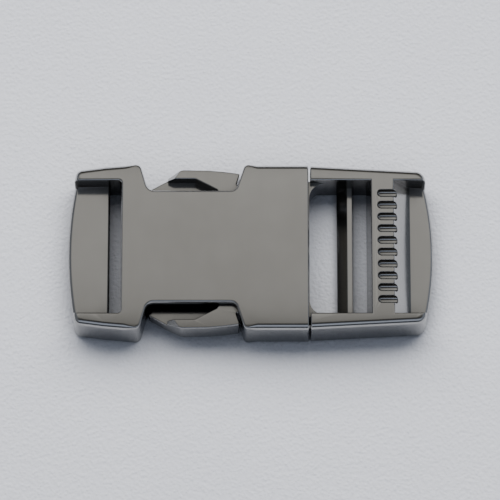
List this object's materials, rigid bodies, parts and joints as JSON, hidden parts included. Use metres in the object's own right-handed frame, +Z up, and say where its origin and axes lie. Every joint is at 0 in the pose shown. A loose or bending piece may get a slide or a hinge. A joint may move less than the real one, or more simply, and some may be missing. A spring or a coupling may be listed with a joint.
{
  "type": "side-release buckle",
  "caption": "Die-cast metal side-release buckle for flat webbing, with a strap bar in its housing and a grooved strap adjuster on the other half.",
  "frame": {"origin": "middle of the buckle in plan, on the surface that it lies on", "axes": "+X along the strap from the housing to the adjuster, +Y towards the rear squeeze lever, +Z up out of the show face"},
  "size_m": [0.067, 0.0324, 0.0076],
  "materials": {
    "plated_casting": "satin gunmetal plating over cast zinc alloy",
    "plated_lever": "satin gunmetal plating over cast zinc alloy",
    "pin_steel": "ground steel",
    "spring_steel": "drawn spring wire"
  },
  "bodies": {
    "housing": {"female_housing": "plated_casting"},
    "male_half": {"male_frame": "plated_casting", "rear_pivot_pin": "pin_steel", "front_pivot_pin": "pin_steel", "rear_return_spring": "spring_steel", "front_return_spring": "spring_steel"},
    "rear_arm": {"rear_latch_arm": "plated_lever"},
    "front_arm": {"front_latch_arm": "plated_lever"}
  },
  "joints": [
    {"name": "latched_play", "type": "slide", "parent": "housing", "child": "male_half", "axis": [1, 0, 0], "range_m": [-0.0002, 0.0002]},
    {"name": "rear_arm_pivot", "type": "hinge", "parent": "male_half", "child": "rear_arm", "pos_m": [0.0063, 0.0094, 0.0038], "axis": [0, 0, 1], "range_deg": [0, 11], "stiffness_Nm_per_rad": 0.35, "springref_deg": -8.59, "deforming": ["rear_return_spring"]},
    {"name": "front_arm_pivot", "type": "hinge", "parent": "male_half", "child": "front_arm", "pos_m": [0.0063, -0.0094, 0.0038], "axis": [0, 0, -1], "range_deg": [0, 11], "stiffness_Nm_per_rad": 0.35, "springref_deg": -8.59, "deforming": ["front_return_spring"]}
  ]
}
